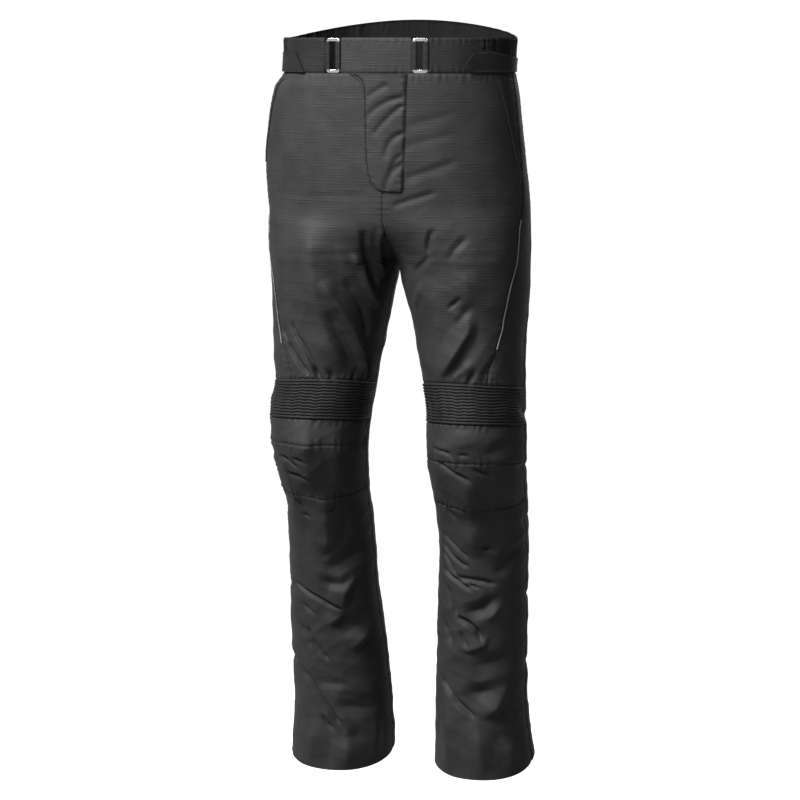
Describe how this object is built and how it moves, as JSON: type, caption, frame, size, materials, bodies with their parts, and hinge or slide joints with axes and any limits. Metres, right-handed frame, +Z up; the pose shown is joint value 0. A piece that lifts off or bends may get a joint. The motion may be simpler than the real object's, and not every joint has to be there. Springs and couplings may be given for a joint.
{
  "type": "motorcycle trousers",
  "caption": "Textile motorcycle trousers, hollow and filled out as worn, with ribbed stretch panels over the knees, a fly, waist loops and adjuster tabs.",
  "frame": {"origin": "middle of the waistband, half way up its front, where the wearer's waist holds the trousers up", "axes": "+Z up, +X to the wearer's left, -Y to the front"},
  "size_m": [0.3748, 0.2861, 1.097],
  "materials": {
    "cloth": "charcoal black textile with a fine crosswise rib and a slight sheen",
    "trim_cloth": "the same textile in a single layer",
    "stretch": "matt black ribbed stretch cloth",
    "waist_elastic": "matt black gathered cloth over elastic",
    "piping": "light grey reflective piping",
    "metal": "bright nickelled steel"
  },
  "bodies": {
    "root": {"front_right": "cloth", "front_left": "cloth", "side_insert_right": "cloth", "side_insert_left": "cloth", "knee_top_right": "cloth", "knee_top_left": "cloth", "knee_cup_right": "cloth", "knee_cup_left": "cloth", "shin_right": "cloth", "shin_left": "cloth", "back_right": "cloth", "back_left": "cloth", "waist_tab": "cloth", "waistband_front_right": "cloth", "waistband_front_left": "cloth", "fly": "cloth", "adjuster_tab_right": "trim_cloth", "adjuster_tab_left": "trim_cloth", "pocket_welt_right": "trim_cloth", "pocket_welt_left": "trim_cloth", "loop_keeper_right_rear": "trim_cloth", "loop_keeper_right_front": "trim_cloth", "loop_keeper_left_rear": "trim_cloth", "loop_keeper_left_front": "trim_cloth", "knee_stretch_right": "stretch", "knee_stretch_left": "stretch", "waistband_back": "waist_elastic", "piping_right": "piping", "piping_left": "piping", "waist_loop_right": "metal", "waist_loop_left": "metal"}
  },
  "joints": []
}
